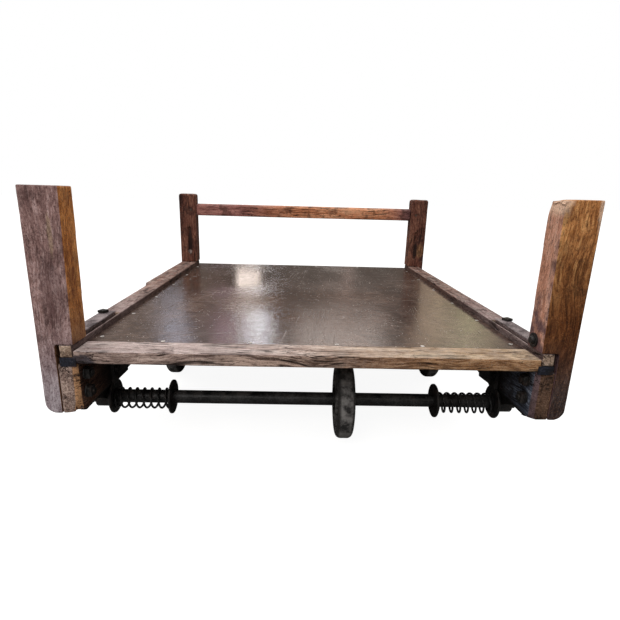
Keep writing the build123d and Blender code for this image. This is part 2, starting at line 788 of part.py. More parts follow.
def fastener_nodes():
    frame_bolts = [post_bolt_solid()]
    lag_screws = []
    strap_bolts = []
    for side in (-1, 1):
        strap_bolts += [at_corner(solid, side, -1) for solid in strap_bolt_solids()]
        lag_screws += [at_corner(solid, side, -1)
                       for solid in hanger_screws(half_length, middle_hanger_foot_length)]
        for end in (-1, 1):
            frame_bolts += [at_corner(solid, side, end) for solid in sill_bolt_solids()]
            corner_screws = knee_screws(knee_reach(side, end))
            corner_screws += hanger_screws(end_axle_setback, hanger_foot_length)
            lag_screws += [at_corner(solid, side, end) for solid in corner_screws]
    cotters = [cotter(side, y, z) for side in (-1, 1)
               for y, z in ((-end_axle_y, end_axle_z), (0.0, middle_axle_z), (end_axle_y, end_axle_z))]
    return {"frame_bolts": frame_bolts, "lag_screws": lag_screws, "strap_bolts": strap_bolts,
            "deck_screws": deck_screws(), "axle_cotters": cotters}


def end_gear_nodes():
    """The sprung, sliding wheel set at each end."""
    nodes = {}
    z = end_axle_z
    for end_name, y, wheel_x in (("front", -end_axle_y, front_wheel_x), ("rear", end_axle_y, rear_wheel_x)):
        nodes[f"{end_name}_axle"] = axle(y, z)
        nodes[f"{end_name}_wheel"] = wheel(wheel_x, y, z, bush_radius + running_clearance)
        nodes[f"{end_name}_wheel_bush"] = sliding_bush(wheel_x, y, z)
        nodes[f"{end_name}_outer_washers"] = [washer(side, outer_washer_x, y, z) for side in (-1, 1)]
        for side_name, side in (("left", -1), ("right", 1)):
            washer_x = front_right_washer_x if side > 0 and y < 0 else inner_washer_x
            nodes[f"{end_name}_{side_name}_washer"] = washer(side, washer_x, y, z)
            nodes[f"{end_name}_{side_name}_spring"] = spring(side, washer_x, y, z)
    return nodes


def middle_gear_nodes():
    nodes = {"middle_axle": axle(0.0, middle_axle_z),
             "middle_collars": [make(side) for side in (-1, 1) for make in (middle_collar, thrust_washer)]}
    for side_name, side in (("left", -1), ("right", 1)):
        x = side * middle_wheel_x
        bush_x = (x - wheel_hub_half, x + wheel_hub_half)
        nodes[f"{side_name}_wheel"] = wheel(x, 0.0, middle_axle_z, bush_radius)
        nodes[f"{side_name}_wheel_bush"] = ring_x(bush_x, 0.0, middle_axle_z, bush_radius,
                                                  axle_radius + running_clearance)
    return nodes


def write(name, shape):
    if isinstance(shape, list):
        shape = Compound(children=[solid for part in shape for solid in part.solids()])
    export_step(shape, f"parts/{name}.step")


os.makedirs("parts", exist_ok=True)
for group in (timber_nodes(), iron_nodes(), fastener_nodes(), end_gear_nodes(), middle_gear_nodes()):
    for node_name, node_shape in group.items():
        write(node_name, node_shape)
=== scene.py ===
"""Look of the platform truck: worn timber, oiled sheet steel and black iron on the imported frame.

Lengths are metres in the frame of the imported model: +Z up, +X to the right, the front towards -Y.
"""
from itertools import product
from math import pi, tau

import bpy
import numpy as np
from mathutils import Matrix, Vector


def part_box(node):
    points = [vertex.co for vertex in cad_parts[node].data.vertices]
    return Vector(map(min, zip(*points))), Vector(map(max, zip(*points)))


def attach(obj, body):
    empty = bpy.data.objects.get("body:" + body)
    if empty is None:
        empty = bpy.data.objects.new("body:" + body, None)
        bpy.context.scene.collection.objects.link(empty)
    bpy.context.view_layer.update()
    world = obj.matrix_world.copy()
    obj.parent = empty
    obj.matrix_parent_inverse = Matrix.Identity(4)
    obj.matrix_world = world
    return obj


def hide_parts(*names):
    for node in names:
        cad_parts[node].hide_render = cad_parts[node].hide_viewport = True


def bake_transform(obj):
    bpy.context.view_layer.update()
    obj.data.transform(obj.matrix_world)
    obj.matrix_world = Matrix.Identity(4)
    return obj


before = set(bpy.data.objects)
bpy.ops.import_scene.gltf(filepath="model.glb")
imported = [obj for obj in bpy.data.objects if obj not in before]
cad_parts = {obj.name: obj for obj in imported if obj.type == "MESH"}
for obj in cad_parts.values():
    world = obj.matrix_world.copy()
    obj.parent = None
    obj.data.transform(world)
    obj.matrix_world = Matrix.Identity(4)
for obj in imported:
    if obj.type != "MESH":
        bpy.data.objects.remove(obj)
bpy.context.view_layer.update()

ends = ("front", "rear")
sides = {"left": -1.0, "right": 1.0}
axis_names = "XYZ"


# --- Places ------------------------------------------------------------------------------------

def inside(node, x, y, z):
    """The point at the given shares of a node's box along each axis."""
    low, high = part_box(node)
    return Vector([low[i] + share * (high[i] - low[i]) for i, share in enumerate((x, y, z))])


# --- Camera, light and floor -------------------------------------------------------------------

def place_camera():
    """The photograph's camera, as fitted to the truck's straight edges; its angles are radians."""
    data = bpy.data.cameras.new("camera")
    data.sensor_width = 36.0
    data.lens = 26.43
    data.shift_x = 0.0066
    data.shift_y = 0.0179
    yaw, pitch, roll = 0.02693, 0.27035, 0.02733
    turn = (Matrix.Rotation(-yaw, 4, "Z") @ Matrix.Rotation(pi / 2 - pitch, 4, "X")
            @ Matrix.Rotation(roll, 4, "Z"))
    camera = bpy.data.objects.new("camera", data)
    camera.matrix_world = Matrix.Translation((-0.0336, -1.4602, 0.5881)) @ turn
    bpy.context.collection.objects.link(camera)
    bpy.context.scene.camera = camera


def light_world():
    """A room that is dark near the horizon and bright overhead, seen by the camera as plain white."""
    world = bpy.data.worlds.new("studio")
    bpy.context.scene.world = world
    world.use_nodes = True
    tree = world.node_tree
    tree.nodes.clear()
    direction = tree.nodes.new("ShaderNodeTexCoord")
    split = tree.nodes.new("ShaderNodeSeparateXYZ")
    tree.links.new(direction.outputs["Generated"], split.inputs[0])
    ramp = tree.nodes.new("ShaderNodeValToRGB")
    tree.links.new(split.outputs["Z"], ramp.inputs[0])
    brightness_by_height = ((0.0, (0.07, 0.06, 0.055)), (0.17, (0.08, 0.064, 0.053)),
                            (0.34, (0.34, 0.28, 0.235)), (0.55, (0.90, 0.87, 0.83)), (1.0, (1.5, 1.5, 1.5)))
    set_stops(ramp.color_ramp, brightness_by_height)
    room = tree.nodes.new("ShaderNodeBackground")
    tree.links.new(ramp.outputs[0], room.inputs["Color"])
    backdrop = tree.nodes.new("ShaderNodeBackground")
    backdrop.inputs["Color"].default_value = (1.0, 1.0, 1.0, 1.0)
    ray = tree.nodes.new("ShaderNodeLightPath")
    choice = tree.nodes.new("ShaderNodeMixShader")
    tree.links.new(ray.outputs["Is Camera Ray"], choice.inputs[0])
    tree.links.new(room.outputs[0], choice.inputs[1])
    tree.links.new(backdrop.outputs[0], choice.inputs[2])
    output = tree.nodes.new("ShaderNodeOutputWorld")
    tree.links.new(choice.outputs[0], output.inputs["Surface"])


def set_stops(ramp, stops):
    """Give a colour ramp the (position, colour) stops."""
    while len(ramp.elements) < len(stops):
        ramp.elements.new(0.5)
    for element, (position, colour) in zip(ramp.elements, stops):
        element.position = position
        element.color = (*colour, 1.0)


def area_light(name, place, target, size, radiance, colour):
    """A soft rectangular light that faces its target and isn't itself in the picture."""
    data = bpy.data.lights.new(name, "AREA")
    data.shape = "RECTANGLE"
    data.size, data.size_y = size
    data.energy = radiance * pi * size[0] * size[1]
    data.color = colour
    lamp = bpy.data.objects.new(name, data)
    lamp.location = place
    lamp.rotation_euler = (Vector(target) - Vector(place)).to_track_quat("-Z", "Y").to_euler()
    lamp.visible_camera = False
    bpy.context.collection.objects.link(lamp)


def place_lights():
    deck_middle = inside("deck_sheet", 0.5, 0.5, 1.0)
    area_light("front_soft_box", (-1.6, -3.2, 2.6), deck_middle, (2.4, 2.0), 3.4, (1.0, 0.98, 0.95))
    area_light("left_soft_box", (-3.0, 0.4, 2.2), deck_middle, (1.8, 2.4), 1.6, (1.0, 0.96, 0.92))
    far = 6.0
    # Name, (x, z) of the middle, (width, height), radiance and colour. They show as streaks in the deck.
    windows = (("window_1", (-0.80, 1.36), (0.38, 0.54), 2.7, (1.0, 0.86, 0.77)),
               ("window_2", (-0.66, 2.42), (0.34, 0.50), 12.0, (0.90, 0.92, 1.0)),
               ("window_3", (-2.05, 2.42), (0.44, 0.54), 3.1, (0.76, 0.80, 1.0)),
               ("window_4", (0.84, 1.20), (0.13, 0.40), 0.8, (1.0, 0.66, 0.56)),
               ("window_5", (2.92, 2.25), (1.20, 1.20), 0.6, (1.0, 0.84, 0.50)),
               ("window_6", (0.75, 2.75), (1.50, 0.70), 2.6, (1.0, 0.90, 0.84)),
               ("window_7", (-1.20, 2.25), (0.40, 0.70), 1.1, (1.0, 0.60, 0.82)),
               ("window_8", (2.20, 2.05), (0.50, 1.10), 0.75, (1.0, 0.72, 0.47)),
               ("window_9", (2.95, 2.60), (0.36, 0.80), 1.1, (0.86, 0.95, 0.50)))
    for name, (x, z), size, radiance, colour in windows:
        area_light(name, (x, far, z), deck_middle, size, radiance, colour)


# --- Node materials ----------------------------------------------------------------------------

class Shader:
    """One node material under construction. Its methods add nodes and return their output sockets."""

    def __init__(self, name):
        self.material = bpy.data.materials.new(name)
        self.material.use_nodes = True
        self.tree = self.material.node_tree
        self.tree.nodes.clear()
        coordinates = self.tree.nodes.new("ShaderNodeTexCoord")
        self.place = coordinates.outputs["Object"]
        self.facing = coordinates.outputs["Normal"]

    def plug(self, socket, value):
        """Link a node's output to a socket, or write a plain value on it."""
        if isinstance(value, bpy.types.NodeSocket):
            self.tree.links.new(value, socket)
        elif value is not None:
            socket.default_value = value

    def math(self, operation, first, second=None):
        node = self.tree.nodes.new("ShaderNodeMath")
        node.operation = operation
        self.plug(node.inputs[0], first)
        self.plug(node.inputs[1], second)
        return node.outputs[0]

    def add(self, *terms):
        """The sum of (weight, value) terms. A term with the value 1.0 adds its weight as a constant."""
        total = 0.0
        for weight, value in terms:
            total = self.math("ADD", self.math("MULTIPLY", value, weight), total)
        return total

    def vector(self, operation, first, second):
        node = self.tree.nodes.new("ShaderNodeVectorMath")
        node.operation = operation
        self.plug(node.inputs[0], first)
        self.plug(node.inputs[1], second)
        return node.outputs["Value" if operation == "DISTANCE" else "Vector"]

    def along(self, vector, axis):
        """A vector's component along an axis."""
        node = self.tree.nodes.new("ShaderNodeSeparateXYZ")
        self.plug(node.inputs[0], vector)
        return node.outputs[axis]

    def noise(self, place, scale, detail=3.0, roughness=0.5, colour=False):
        node = self.tree.nodes.new("ShaderNodeTexNoise")
        self.plug(node.inputs["Vector"], place)
        self.plug(node.inputs["Scale"], scale)
        self.plug(node.inputs["Detail"], detail)
        self.plug(node.inputs["Roughness"], roughness)
        return node.outputs[1 if colour else 0]

    def cells(self, place, scale):
        """Distance from each point to the nearest of many scattered points."""
        node = self.tree.nodes.new("ShaderNodeTexVoronoi")
        self.plug(node.inputs["Vector"], place)
        self.plug(node.inputs["Scale"], scale)
        return node.outputs["Distance"]

    def step(self, value, low, high):
        """0 below low, 1 above high and smooth between; the other way round where low is above high."""
        node = self.tree.nodes.new("ShaderNodeMapRange")
        node.interpolation_type = "SMOOTHSTEP"
        self.plug(node.inputs["Value"], value)
        falls = low > high
        for name, number in (("From Min", min(low, high)), ("From Max", max(low, high)),
                             ("To Min", 1.0 if falls else 0.0), ("To Max", 0.0 if falls else 1.0)):
            self.plug(node.inputs[name], number)
        return node.outputs[0]

    def mix(self, share, first, second):
        """The first colour where the share is 0, and the second where it is 1."""
        node = self.tree.nodes.new("ShaderNodeMix")
        node.data_type = "RGBA"
        self.plug(node.inputs[0], share)
        # The node has sockets for every data type, with the same names; these numbers are the colours'.
        for socket, colour in ((node.inputs[6], first), (node.inputs[7], second)):
            self.plug(socket, colour if isinstance(colour, bpy.types.NodeSocket) else (*colour, 1.0))
        return node.outputs[2]

    def tones(self, value, colours, low=0.43, high=0.57):
        """Evenly spaced colours over a range of values."""
        node = self.tree.nodes.new("ShaderNodeValToRGB")
        self.plug(node.inputs[0], value)
        gap = (high - low) / (len(colours) - 1)
        set_stops(node.color_ramp, [(low + gap * number, colour) for number, colour in enumerate(colours)])
        return node.outputs[0]

    def attribute(self, name):
        """A number that the mesh carries at each vertex."""
        node = self.tree.nodes.new("ShaderNodeAttribute")
        node.attribute_name = name
        return node.outputs["Fac"]

    def times(self, *values):
        """The product of the values."""
        total = values[0]
        for value in values[1:]:
            total = self.math("MULTIPLY", total, value)
        return total

    def faces(self, axis, sign):
        """1 where the surface faces along the signed axis."""
        return self.step(self.times(self.along(self.facing, axis), sign), 0.55, 0.85)

    def between(self, axis, low, high):
        """0 to 1 from one place to another along an axis."""
        return self.step(self.along(self.place, axis), low, high)

    def spot(self, centre, radii, ragged=0.5):
        """1 in a ragged ellipsoid about a centre."""
        scaled = self.vector("DIVIDE", self.place, tuple(radii))
        reach = self.vector("DISTANCE", scaled, tuple(c / r for c, r in zip(centre, radii)))
        torn = self.noise(self.place, 90.0, detail=4.0, roughness=0.6)
        return self.step(self.add((1.0, reach), (ragged * 2.0, torn)), 1.1 + ragged, 0.6 + ragged)

    def scratches(self, axis, angle, scale, width=0.0035):
        """Thin straight lines in patches, turned by the angle about an axis.

        The lines follow where a stretched noise crosses its middle value, within the width.
        """
        turned = self.tree.nodes.new("ShaderNodeVectorRotate")
        turned.rotation_type = f"{axis}_AXIS"
        self.plug(turned.inputs["Vector"], self.place)
        turned.inputs["Angle"].default_value = angle
        stretched = 0.015
        drawn_out = (1.0, stretched, 1.0) if axis == "Z" else (1.0, 1.0, stretched)
        line = self.noise(self.vector("MULTIPLY", turned.outputs[0], drawn_out), scale, detail=2.0)
        line = self.step(self.math("ABSOLUTE", self.add((1.0, line), (-0.5, 1.0))), width, width / 7)
        patch = self.step(self.noise(turned.outputs[0], scale / 12, detail=3.0), 0.48, 0.60)
        return self.times(line, patch)

    def finish(self, colour, roughness, height, depth, glow=None, **fixed):
        """Close the material with a principled surface.

        depth is the height of the bumps, glow the strength of any light it gives out, and fixed holds
        plain values for other sockets.
        """
        bump = self.tree.nodes.new("ShaderNodeBump")
        bump.inputs["Distance"].default_value = depth
        self.plug(bump.inputs["Height"], height)
        surface = self.tree.nodes.new("ShaderNodeBsdfPrincipled")
        self.plug(surface.inputs["Base Color"], colour)
        self.plug(surface.inputs["Roughness"], roughness)
        self.tree.links.new(bump.outputs[0], surface.inputs["Normal"])
        self.plug(surface.inputs["Emission Strength"], glow)
        for name, value in fixed.items():
            surface.inputs[name.replace("_", " ")].default_value = value
        output = self.tree.nodes.new("ShaderNodeOutputMaterial")
        self.tree.links.new(surface.outputs[0], output.inputs["Surface"])
        return self.material


# --- Wood --------------------------------------------------------------------------------------

def wood(name, grain, tones, marks=None, grime=(0.03, 0.022, 0.02), grime_share=0.6,
         worn=(0.40, 0.32, 0.28), worn_share=0.5, dust_share=0.25, roughness=0.62, cracks=1.0,
         streak=0.075):
    """Old sawn timber: streaky tone, open cracks, grime, rubbed arrises and dust on what faces up.

    marks(shader, colour, tone) may colour the piece further before the grime goes on. The smaller the
    streak, the longer the figure runs along the grain.
    """
    crack_black = (0.010, 0.006, 0.005)
    grease_black = (0.015, 0.010, 0.009)
    # The colour of the painted shade in inner corners.
    painted_recess_shade = (0.012, 0.009, 0.008)
    dust_grey = (0.55, 0.47, 0.43)
    s = Shader(name)
    drift = s.vector("MULTIPLY", s.noise(s.place, 5.0, detail=1.0, colour=True), (0.05, 0.05, 0.05))
    wandering = s.vector("ADD", s.place, drift)

    def drawn_out(share):
        """The place with its length along the grain shortened to a share, so that patterns stretch."""
        stretch = [1.0, 1.0, 1.0]
        stretch[axis_names.index(grain)] = share
        return s.vector("MULTIPLY", wandering, tuple(stretch))

    # The figure: fibres, broader bands and fine flecks, all drawn out along the grain.
    fibre = s.noise(drawn_out(streak), 210.0, detail=8.0, roughness=0.74)
    band = s.noise(drawn_out(streak), 40.0, detail=4.0, roughness=0.6)
    fleck = s.noise(drawn_out(streak * 0.8), 430.0, detail=4.0, roughness=0.7)
    tone = s.add((0.42, fibre), (0.30, band), (0.28, fleck))
    colour = s.tones(tone, tones)
    if marks:
        colour = marks(s, colour, tone)

    # Pale and dark specks and grit, and broad soiled patches.
    speckle = s.noise(s.place, 360.0, detail=2.0, roughness=0.6)
    colour = s.mix(s.times(s.step(speckle, 0.58, 0.68), 0.45 * worn_share), colour, worn)
    colour = s.mix(s.times(s.step(speckle, 0.42, 0.32), 0.5), colour, grime)
    grit = s.noise(drawn_out(streak * 3.3), 300.0, detail=6.0, roughness=0.8)
    colour = s.mix(s.times(s.step(grit, 0.49, 0.38), 0.6), colour, grime)
    colour = s.mix(s.times(s.step(grit, 0.56, 0.68), 0.5 * worn_share), colour, worn)
    blotch = s.noise(s.place, 16.0, detail=9.0, roughness=0.72)
    soiled = s.times(s.step(blotch, 0.50, 0.62), grime_share)
    colour = s.mix(soiled, colour, grime)

    # Open cracks, where a noise drawn out along the grain crosses its middle value.
    shake = s.noise(drawn_out(0.02), 60.0, detail=4.0, roughness=0.6)
    line = s.math("ABSOLUTE", s.add((1.0, shake), (-0.5, 1.0)))
    cracked = s.step(s.noise(s.place, 12.0, detail=2.0), 0.44, 0.54)
    split = s.times(s.step(line, 0.020, 0.004), cracked, cracks)
    colour = s.mix(s.times(split, 0.9), colour, crack_black)

    # Arrises are scuffed pale in some places and greasy in others, and inner corners are darkened with
    # painted shade.
    arris = s.attribute("arris")
    chafe = s.noise(s.place, 70.0, detail=5.0, roughness=0.65)
    scuffed = s.times(s.step(arris, 0.25, 0.8), s.step(chafe, 0.44, 0.58))
    colour = s.mix(s.times(scuffed, worn_share), colour, worn)
    greasy = s.times(s.step(arris, 0.15, 0.6), s.step(chafe, 0.46, 0.36))
    colour = s.mix(s.times(greasy, 0.75), colour, grease_black)
    # Painted shade: inner corners are darkened nearly to black.
    recess_shade_mask = s.step(arris, -0.15, -0.6)
    colour = s.mix(s.times(recess_shade_mask, 0.85), colour, painted_recess_shade)

    # Dust lies on what faces up.
    dust = s.step(s.noise(s.place, 38.0, detail=7.0, roughness=0.7), 0.40, 0.62)
    lying = s.times(s.faces("Z", 1.0), dust)
    colour = s.mix(s.times(lying, dust_share), colour, dust_grey)

    rough = s.add((0.5, fibre), (roughness - 0.25, 1.0), (0.15, soiled))
    height = s.add((0.7, fibre), (0.5, fleck), (0.6, grit), (0.5, speckle), (-1.6, split), (0.3, band))
    relief = 0.0026
    return s.finish(colour, rough, height, relief, Specular_IOR_Level=0.10)


def left_post_marks(s, colour, tone):
    """Greyer towards the foot, with a pale streak, and orange-brown on the inner face."""
    node = "front_left_post"
    low, high = inside(node, 0, 0, 0.05)[2], inside(node, 0, 0, 0.50)[2]
    grey = s.tones(tone, ((0.20, 0.155, 0.175), (0.37, 0.30, 0.33), (0.58, 0.51, 0.55)))
    colour = s.mix(s.between("Z", high, low), colour, grey)
    near_top = s.between("Z", inside(node, 0, 0, 0.72)[2], inside(node, 0, 0, 0.86)[2])
    scored = s.times(s.scratches("Y", -0.7, 90.0, 0.006), near_top)
    colour = s.mix(s.times(scored, 0.8), colour, (0.03, 0.016, 0.02))
    streak = s.spot(inside(node, 0.68, 0.0, 0.80), (0.005, 0.03, 0.045))
    colour = s.mix(s.times(streak, 0.6), colour, (0.42, 0.30, 0.20))
    dark = s.spot(inside(node, 0.55, 0.0, 0.56), (0.028, 0.03, 0.085), 0.8)
    colour = s.mix(s.times(dark, 0.42), colour, (0.07, 0.035, 0.04))
    inner = s.tones(tone, ((0.36, 0.115, 0.025), (0.72, 0.28, 0.080), (0.94, 0.45, 0.155)))
    brown = s.tones(tone, ((0.125, 0.058, 0.027), (0.26, 0.127, 0.064), (0.39, 0.21, 0.11)))
    inner = s.mix(s.between("Z", inside(node, 0, 0, 0.6)[2], inside(node, 0, 0, 0.3)[2]), inner, brown)
    return s.mix(s.faces("X", 1.0), colour, inner)


def right_post_marks(s, colour, tone):
    """Golden at the top, purple-brown at the foot, and salmon with dark stains on the inner face."""
    node = "front_right_post"
    top, middle, low = (inside(node, 0, 0, share)[2] for share in (0.95, 0.45, 0.1))
    brown = s.tones(tone, ((0.065, 0.020, 0.006), (0.155, 0.050, 0.014), (0.26, 0.098, 0.032)))
    plum = s.tones(tone, ((0.026, 0.018, 0.018), (0.062, 0.045, 0.043), (0.12, 0.094, 0.090)))
    colour = s.mix(s.between("Z", top, middle), colour, brown)
    colour = s.mix(s.between("Z", middle, low), colour, plum)
    inner = s.tones(tone, ((0.36, 0.16, 0.10), (0.64, 0.31, 0.21), (0.82, 0.49, 0.37)))
    stain = s.noise(s.place, 24.0, detail=5.0, roughness=0.6)
    reach = s.add((1.0, stain), (0.55, s.between("Z", top, low)))
    inner = s.mix(s.times(s.step(reach, 0.72, 0.95), 0.85), inner, (0.085, 0.055, 0.075))
    near_arris = s.between("Y", inside(node, 0, 0.35, 0)[1], inside(node, 0, 0.0, 0)[1])
    inner = s.mix(s.times(near_arris, s.step(stain, 0.42, 0.6), 0.7), inner, (0.14, 0.085, 0.105))
    colour = s.mix(s.faces("X", -1.0), colour, inner)
    for place, radii in ((inside(node, 0.04, 0.3, 1.0), (0.019, 0.06, 0.034)),
                         (inside(node, 1.0, 0.0, 0.97), (0.010, 0.03, 0.050))):
        colour = s.mix(s.times(s.spot(place, radii, 0.4), 0.85), colour, (0.86, 0.60, 0.44))
    return colour


def rear_post_marks(s, colour, tone):
    """Painted shade in the stopped grooves, bare orange wood at the right one, and a pale scab at the left
    one.
    """
    bare = s.tones(tone, ((0.16, 0.07, 0.03), (0.38, 0.19, 0.09), (0.55, 0.32, 0.17)))
    patch = s.spot(inside("rear_right_post", 0.72, 0.0, 0.50), (0.017, 0.03, 0.035), 0.5)
    colour = s.mix(s.times(patch, 0.85), colour, bare)
    # Painted shade: a near-black strip down each stopped groove.
    for side, (across, height, length) in {"left": (0.6, 0.54, 0.075), "right": (0.42, 0.50, 0.05)}.items():
        groove_shade = s.spot(inside(f"rear_{side}_post", across, 0.0, height), (0.009, 0.03, length), 0.4)
        colour = s.mix(s.times(groove_shade, 0.85), colour, (0.02, 0.014, 0.013))
    scab = s.spot(inside("rear_left_post", 0.58, 0.0, 0.44), (0.009, 0.02, 0.011), 0.5)
    return s.mix(s.times(scab, 0.8), colour, (0.50, 0.40, 0.36))


def front_rail_marks(s, colour, tone):
    """Pale and dusty on top, browner to the right, with a blue-black stain low at the left end."""
    low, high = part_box("front_rail")
    warm = s.tones(tone, ((0.14, 0.064, 0.026), (0.40, 0.21, 0.10), (0.62, 0.40, 0.23)))
    to_right = s.between("X", low[0] * 0.5, high[0] * 0.7)
    colour = s.mix(to_right, colour, warm)
    stain = s.spot(inside("front_rail", 0.04, 0.0, 0.2), (0.035, 0.02, 0.016), 0.5)
    colour = s.mix(s.times(stain, 0.9), colour, (0.035, 0.037, 0.055))
    pale = s.spot(inside("front_rail", 0.45, 0.0, 0.5), (0.16, 0.03, 0.03), 0.7)
    colour = s.mix(s.times(pale, s.step(tone, 0.42, 0.52), 0.8), colour, (0.64, 0.47, 0.39))
    top = s.tones(tone, ((0.30, 0.21, 0.195), (0.58, 0.46, 0.44), (0.82, 0.71, 0.69)))
    warm_top = s.tones(tone, ((0.26, 0.165, 0.09), (0.53, 0.37, 0.24), (0.72, 0.57, 0.41)))
    return s.mix(s.faces("Z", 1.0), colour, s.mix(to_right, top, warm_top))


def top_rail_marks(s, colour, tone):
    """Orange in the middle, where hands rub it, and darker purple at the ends."""
    low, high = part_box("rear_top_rail")
    orange = s.tones(tone, ((0.40, 0.140, 0.060), (0.76, 0.31, 0.155), (0.95, 0.50, 0.29)))
    plum = s.tones(tone, ((0.07, 0.03, 0.03), (0.17, 0.078, 0.078), (0.30, 0.15, 0.15)))
    middle = s.times(s.between("X", low[0] * 0.6, 0.0), s.between("X", high[0] * 0.95, high[0] * 0.6))
    colour = s.mix(middle, colour, orange)
    return s.mix(s.between("X", high[0] * 0.76, high[0] * 0.92), colour, plum)


def sill_marks(s, colour, tone):
    """The sills are pale at their front ends, and brown outside. Inside they are brown or blue-grey near
    the front, with painted glints in the blue-grey, and painted shade turns them black further in.
    """
    front = inside("left_sill", 0, 0.0, 0)[1]
    is_right = s.between("X", -0.01, 0.01)
    rust_brown = s.tones(tone, ((0.03, 0.012, 0.008), (0.11, 0.05, 0.032), (0.20, 0.11, 0.075)))
    # The bright end of these blue-grey tones is painted glints.
    slate_with_painted_glints = s.tones(tone, ((0.032, 0.038, 0.055), (0.11, 0.13, 0.18), (0.48, 0.54, 0.66)), 0.42, 0.60)
    colour = s.mix(is_right, rust_brown, slate_with_painted_glints)
    # Painted shade: behind its front end the sill goes black.
    colour = s.mix(s.between("Y", front + 0.03, front + 0.16), colour, (0.008, 0.006, 0.005))
    weathered = s.tones(tone, ((0.055, 0.032, 0.024), (0.15, 0.092, 0.070), (0.27, 0.185, 0.15)))
    outward = s.step(s.times(s.along(s.facing, "X"), s.along(s.place, "X")), 0.1, 0.3)
    colour = s.mix(outward, colour, weathered)
    grey = s.tones(tone, ((0.10, 0.064, 0.055), (0.37, 0.255, 0.215), (0.66, 0.50, 0.43)))
    brown = s.tones(tone, ((0.03, 0.017, 0.010), (0.11, 0.058, 0.036), (0.22, 0.13, 0.085)))
    colour = s.mix(s.faces("Y", -1.0), colour, s.mix(is_right, grey, brown))
    forward = s.step(s.times(s.along(s.facing, "Y"), -1.0), 0.45, 0.6)
    for sign, bare in ((1.0, (0.78, 0.42, 0.21)), (-1.0, (0.17, 0.105, 0.11))):
        chamfer = s.times(forward, s.step(s.times(s.along(s.facing, "X"), sign), 0.45, 0.6))
        colour = s.mix(s.times(chamfer, s.step(tone, 0.38, 0.50), 0.9), colour, bare)
    return colour


def cap_rail_marks(s, colour, tone):
    """Pinker to the front, with painted shade on the side faces where the deck and the slot meet it, and
    pale end grain at the front.
    """
    near, far = inside("left_cap_rail", 0, 0.2, 0)[1], inside("left_cap_rail", 0, 0.6, 0)[1]
    pink = s.tones(tone, ((0.12, 0.072, 0.070), (0.29, 0.20, 0.195), (0.46, 0.35, 0.34)))
    colour = s.mix(s.between("Y", far, near), colour, pink)
    # Painted shade: the faces that look sideways are darkened.
    sideways = s.step(s.math("ABSOLUTE", s.along(s.facing, "X")), 0.55, 0.85)
    colour = s.mix(s.times(sideways, 0.6), colour, (0.022, 0.014, 0.012))
    chip = s.spot(inside("left_cap_rail", 0.0, 0.555, 1.0), (0.012, 0.022, 0.010), 0.3)
    colour = s.mix(s.times(chip, 0.9), colour, (0.80, 0.66, 0.58))
    bare = s.tones(tone, ((0.22, 0.14, 0.09), (0.50, 0.36, 0.26), (0.72, 0.56, 0.43)))
    return s.mix(s.times(s.faces("Y", -1.0), 0.85), colour, bare)


# --- Metal -------------------------------------------------------------------------------------

def deck_steel():
    """Oiled sheet steel: dull dark sheen, wiped and scratched, with dust, dings and brown stains."""
    s = Shader("deck_steel")
    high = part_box("deck_sheet")[1]

    # A wiped and mottled tone, rusty in patches and brown along the right edge, with painted shade
    # darkening it to the rear.
    smear = s.noise(s.vector("MULTIPLY", s.place, (1.0, 0.4, 1.0)), 5.0, detail=5.0, roughness=0.55)
    wipe = s.noise(s.vector("MULTIPLY", s.place, (0.14, 1.0, 1.0)), 170.0, detail=6.0, roughness=0.7)
    mottle = s.noise(s.place, 55.0, detail=7.0, roughness=0.7)
    colour = s.tones(s.add((0.35, smear), (0.35, wipe), (0.30, mottle)),
                     ((0.026, 0.016, 0.013), (0.070, 0.043, 0.034), (0.135, 0.088, 0.068)))
    # Painted shade: the sheet is darkened towards its rear.
    painted_rear_shade = s.between("Y", 0.1 * high[1], 0.9 * high[1])
    colour = s.mix(s.times(painted_rear_shade, 0.85), colour, (0.024, 0.013, 0.008))
    rust = s.step(s.noise(s.place, 13.0, detail=8.0, roughness=0.7), 0.54, 0.70)
    colour = s.mix(s.times(rust, 0.35), colour, (0.10, 0.042, 0.022))
    edge = s.between("X", high[0] - 0.09, high[0] - 0.01)
    colour = s.mix(s.times(edge, s.step(mottle, 0.40, 0.56), 0.5), colour, (0.11, 0.065, 0.05))

    # Scratches, pale specks and dust.
    scratches = 0.0
    for angle, scale in ((0.12, 60.0), (1.35, 45.0), (-0.5, 70.0)):
        scratches = s.math("ADD", scratches, s.scratches("Z", angle, scale))
    colour = s.mix(s.times(s.math("MINIMUM", scratches, 1.0), 0.38), colour, (0.27, 0.21, 0.18))
    speck = s.times(s.step(s.cells(s.place, 95.0), 0.16, 0.08), s.step(s.noise(s.place, 21.0), 0.50, 0.58))
    colour = s.mix(s.times(speck, 0.85), colour, (0.56, 0.51, 0.47))
    dusty = s.times(s.step(smear, 0.46, 0.66), s.step(mottle, 0.40, 0.62))
    colour = s.mix(s.times(dusty, 0.16), colour, (0.24, 0.19, 0.165))

    # The left rear of the sheet is oily, so it shines more.
    oily = s.spot(inside("deck_sheet", 0.17, 0.70, 1.0), (0.20, 0.28, 0.2), 0.6)
    rough = s.add((0.26, smear), (0.30, wipe), (0.10, scratches), (0.25, speck), (-0.05, 1.0),
                  (-0.12, oily))
    height = s.add((0.50, wipe), (0.10, mottle), (-0.3, scratches), (0.6, speck))
    return s.finish(colour, rough, height, 0.0004, Specular_IOR_Level=0.85)


